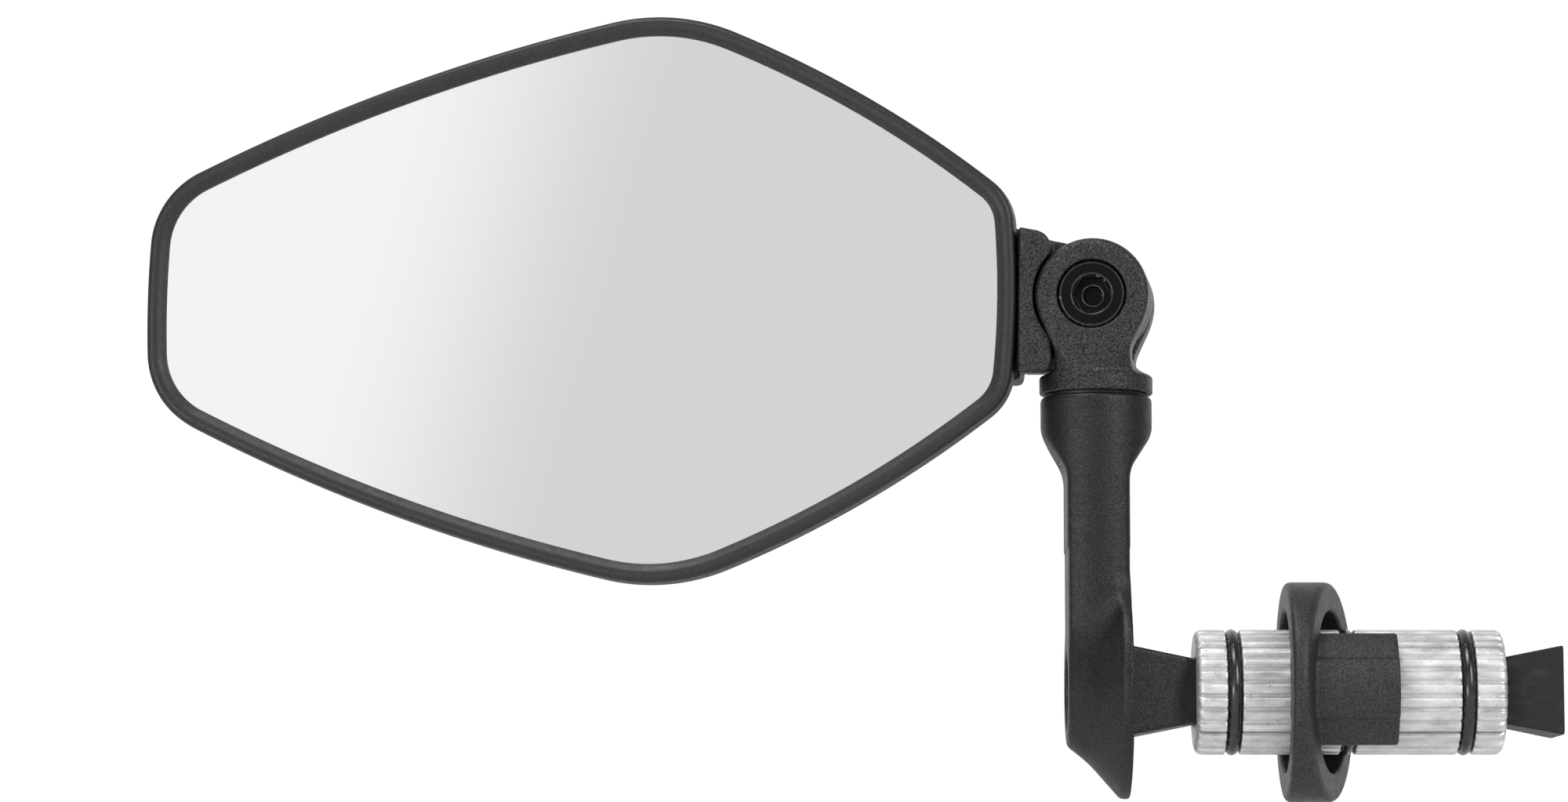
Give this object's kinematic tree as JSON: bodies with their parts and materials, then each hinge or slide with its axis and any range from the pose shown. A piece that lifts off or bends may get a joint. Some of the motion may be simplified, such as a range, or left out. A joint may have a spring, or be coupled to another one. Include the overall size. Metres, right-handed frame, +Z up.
{
  "type": "handlebar-end mirror",
  "caption": "Bicycle mirror for a handlebar end: a framed glass on a knuckle hinge, a swivelling arm and an expanding plug with a loose grip-end ring.",
  "frame": {"origin": "where the expander plug's axis meets the inner face of the foot cap, which rests against the end of the handlebar", "axes": "+X inboard along the handlebar, +Z up the arm, -Y the side the mirror faces"},
  "size_m": [0.2118, 0.0383, 0.1186],
  "materials": {
    "mirror": "silvered glass",
    "pad_foam": "black adhesive foam",
    "rim_plastic": "dark grey matte",
    "shell_plastic": "fine-grained dark grey",
    "coated_casting": "sandblasted casting, black coated",
    "zinc_screw": "zinc plated",
    "black_screw": "black oxide, oiled",
    "friction_plastic": "black acetal",
    "brass_bush": "turned",
    "arm_plastic": "spark-eroded texture, black",
    "cast_zinc": "raw zinc casting",
    "ring_rubber": "black rubber",
    "wedge_coated": "black coating, scuffed",
    "grip_ring_plastic": "sandy matte, dark grey"
  },
  "bodies": {
    "foot": {"arm": "arm_plastic", "swivel_bush": "brass_bush", "swivel_grub_screw": "black_screw", "swivel_washer": "friction_plastic", "bolt_washer": "zinc_screw"},
    "bolt": {"expander_bolt": "zinc_screw"},
    "wedge": {"far_wedge": "wedge_coated"},
    "segment_top": {"segment_top": "cast_zinc"},
    "segment_back": {"segment_back": "cast_zinc"},
    "segment_bottom": {"segment_bottom": "cast_zinc"},
    "segment_front": {"segment_front": "cast_zinc"},
    "rubber_rings": {"o_ring_near": "ring_rubber", "o_ring_middle": "ring_rubber", "o_ring_far": "ring_rubber"},
    "ring": {"grip_ring": "grip_ring_plastic"},
    "fork": {"fork": "coated_casting", "hinge_screw": "black_screw", "hinge_nut": "zinc_screw", "friction_discs": "friction_plastic"},
    "head": {"hinge_block": "coated_casting", "back_shell": "shell_plastic", "rim": "rim_plastic", "glass_pad": "pad_foam", "mirror_glass": "mirror", "block_screws": "zinc_screw"}
  },
  "joints": [
    {"name": "head_swivel", "type": "hinge", "parent": "foot", "child": "fork", "pos_m": [-0.00465, 0, 0.0586], "axis": [0, 0, 1], "continuous": true},
    {"name": "mirror_tilt", "type": "hinge", "parent": "fork", "child": "head", "pos_m": [-0.00465, 0, 0.0586], "axis": [0.1219, 0.9925, 0], "range_deg": [-0.5, 174]},
    {"name": "wedge_slide", "type": "slide", "parent": "foot", "child": "wedge", "axis": [-1, 0, 0], "range_m": [0, 0.012], "deforming": ["o_ring_near", "o_ring_middle", "o_ring_far"]},
    {"name": "bolt_turn", "type": "hinge", "parent": "foot", "child": "bolt", "pos_m": [0, 0, 0], "axis": [1, 0, 0], "continuous": true},
    {"name": "segment_top_slide", "type": "slide", "parent": "foot", "child": "segment_top", "axis": [-0.9816, 0, 0.1908], "range_m": [0, 0.0062]},
    {"name": "segment_bottom_slide", "type": "slide", "parent": "foot", "child": "segment_bottom", "axis": [-0.9816, 0, -0.1908], "range_m": [0, 0.0062]},
    {"name": "segment_back_slide", "type": "slide", "parent": "foot", "child": "segment_back", "axis": [-0.9816, 0.1908, 0], "range_m": [0, 0.0062]},
    {"name": "segment_front_slide", "type": "slide", "parent": "foot", "child": "segment_front", "axis": [-0.9816, -0.1908, 0], "range_m": [0, 0.0062]},
    {"name": "rubber_rings_slide", "type": "slide", "parent": "foot", "child": "rubber_rings", "axis": [-1, 0, 0], "range_m": [0, 0.0061]},
    {"name": "grip_ring_slide", "type": "slide", "parent": "foot", "child": "ring", "axis": [1, 0, 0], "range_m": [-0.0228, 0.015]}
  ],
  "couplings": [
    {"joint": "bolt_turn", "follows": "wedge_slide", "rad_per_m": 6283.2},
    {"joint": "segment_top_slide", "follows": "wedge_slide", "ratio": 0.50936},
    {"joint": "segment_bottom_slide", "follows": "wedge_slide", "ratio": 0.50936},
    {"joint": "segment_back_slide", "follows": "wedge_slide", "ratio": 0.50936},
    {"joint": "segment_front_slide", "follows": "wedge_slide", "ratio": 0.50936},
    {"joint": "rubber_rings_slide", "follows": "wedge_slide", "ratio": 0.5}
  ]
}
